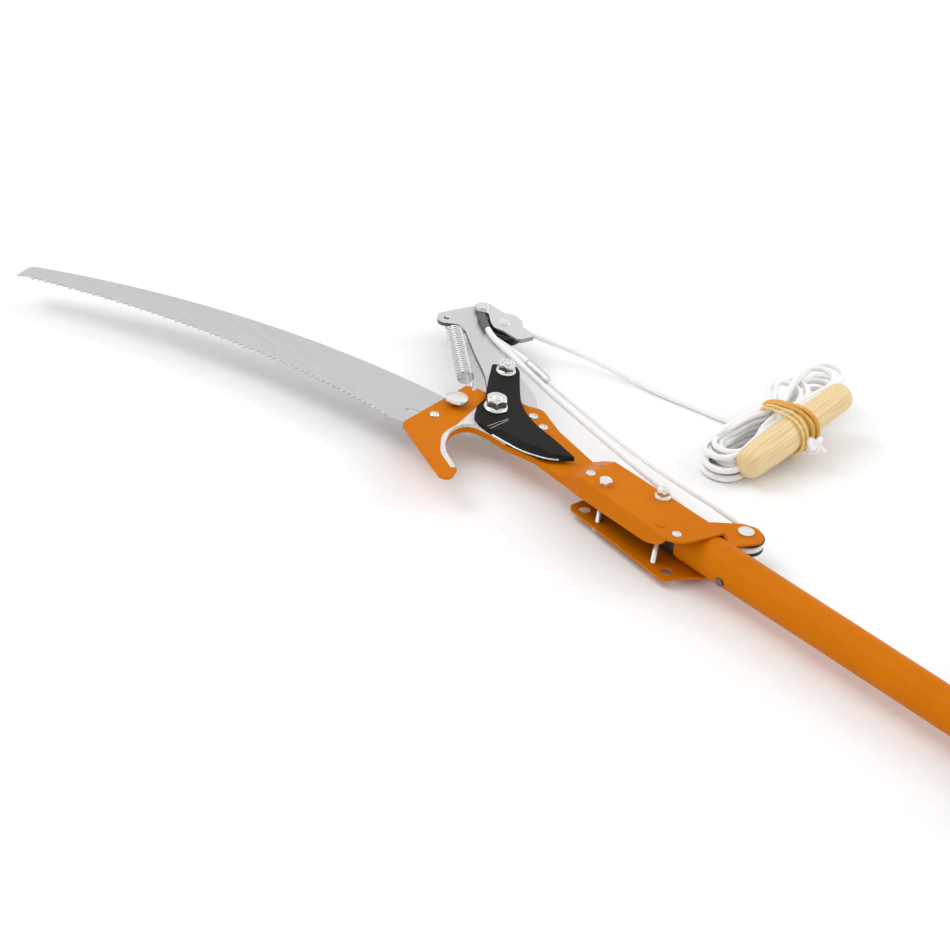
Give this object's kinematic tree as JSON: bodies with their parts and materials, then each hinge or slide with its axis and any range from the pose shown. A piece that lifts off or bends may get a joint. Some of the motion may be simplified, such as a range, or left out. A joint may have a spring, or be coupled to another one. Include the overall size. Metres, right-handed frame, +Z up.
{
  "type": "telescoping pole saw",
  "caption": "Telescoping pole saw and pruner: curved saw blade and hook with a rope-pulled bypass blade, clamped to a sliding tube pole with a twist lock; spare rope tied in a hank.",
  "frame": {"origin": "Under the middle of the tool's box with the pole pushed together, without the free rope and its handle, on the surface that the tool lies on.", "axes": "+X along the pole from the head to the butt, +Z up, from the lower clamp plate to the nut side of the head, +Y from the pole's axis to the pruner's lever and rope side; the hook opens to -Y."},
  "size_m": [2.106, 0.4915, 0.0504],
  "materials": {
    "orange_paint": "orange powder coat on stamped steel, satin, wire and rope rub marks",
    "saw_steel": "ground bright saw steel with teeth set both ways",
    "blade_coat": "dark non-stick coating on the pruner blade",
    "silver_insert": "bright bead-blasted steel",
    "lever_steel": "pale zinc-plated stamped steel",
    "zinc": "bright zinc plate on fasteners and rivets",
    "bracket_steel": "zinc-plated bracket",
    "pulley_plastic": "dark moulded pulley, polished by the rope",
    "adapter_plastic": "black moulded sleeve",
    "pole_paint": "orange powder coat on drawn tube, satin",
    "lock_plastic": "black moulded lock, fine grain",
    "dark_plastic": "black moulded plastic",
    "grip_foam": "black ribbed grip",
    "spring_wire": "plated spring wire",
    "rope_white": "white braided cord",
    "wood": "pale turned hardwood, lacquered",
    "band_rubber": "tan rubber band"
  },
  "bodies": {
    "head": {"head_sheet": "orange_paint", "counter_blade": "silver_insert", "seat_plate": "orange_paint", "saw_blade": "saw_steel", "saw_bolt": "zinc", "saw_bolt_nut": "zinc", "seat_rivet": "zinc", "sheet_rivets": "zinc", "pivot_bolt": "zinc", "pivot_washer": "zinc", "pivot_nut": "zinc", "lower_clamp_plate": "orange_paint", "clamp_bolts": "zinc", "clamp_nuts": "zinc", "tube_adapter": "adapter_plastic", "button_spring": "spring_wire", "lower_axle": "zinc", "upper_pole": "pole_paint", "guide_bush": "dark_plastic", "return_spring": "spring_wire", "tackle_rope": "rope_white", "free_rope": "rope_white", "toggle_handle": "wood", "rope_hank": "rope_white", "rope_knot": "rope_white", "rubber_band": "band_rubber"},
    "lower_pole": {"lower_pole": "pole_paint", "lock_sleeve": "lock_plastic", "lock_collet": "dark_plastic", "pole_grip": "grip_foam", "end_cap": "dark_plastic"},
    "lock_collar": {"lock_collar": "lock_plastic"},
    "cutting_arm": {"cutting_blade": "blade_coat", "lever_arm": "lever_steel", "arm_spacer": "zinc", "arm_bolt": "zinc", "arm_nut": "zinc", "lever_rivet": "zinc", "rivet_spacer": "zinc", "rope_clip": "bracket_steel"},
    "pulley_bracket": {"pulley_bracket": "bracket_steel", "upper_axle": "zinc"},
    "upper_pulley": {"upper_pulley": "pulley_plastic"},
    "lower_pulley": {"lower_pulley": "pulley_plastic"},
    "snap_button": {"snap_button": "silver_insert"}
  },
  "joints": [
    {"name": "pole_slide", "type": "slide", "parent": "head", "child": "lower_pole", "axis": [1, 0, 0], "range_m": [0, 0.69]},
    {"name": "lock_turn", "type": "hinge", "parent": "lower_pole", "child": "lock_collar", "pos_m": [-0.1125, 0.035, 0.025], "axis": [1, 0, 0], "range_deg": [0, 90]},
    {"name": "cutter_pivot", "type": "hinge", "parent": "head", "child": "cutting_arm", "pos_m": [-0.6845, 0.033, 0.025], "axis": [0, 0, 1], "range_deg": [-56, 0], "stiffness_Nm_per_rad": 1, "springref_deg": 34.38, "deforming": ["return_spring", "tackle_rope", "free_rope"]},
    {"name": "bracket_swing", "type": "hinge", "parent": "cutting_arm", "child": "pulley_bracket", "pos_m": [-0.8075, 0.143, 0.025], "axis": [0, 0, 1], "range_deg": [-1, 40], "deforming": ["tackle_rope", "free_rope"]},
    {"name": "upper_pulley_spin", "type": "hinge", "parent": "pulley_bracket", "child": "upper_pulley", "pos_m": [-0.7805, 0.141, 0.025], "axis": [0, 0, 1], "continuous": true},
    {"name": "lower_pulley_spin", "type": "hinge", "parent": "head", "child": "lower_pulley", "pos_m": [-0.4535, 0.077, 0.025], "axis": [0, 0, 1], "continuous": true},
    {"name": "button_press", "type": "slide", "parent": "head", "child": "snap_button", "axis": [0, -0.9613, -0.2756], "range_m": [-0.004, 0], "stiffness_N_per_m": 400, "springref_m": 0.0005, "deforming": ["button_spring"]}
  ]
}
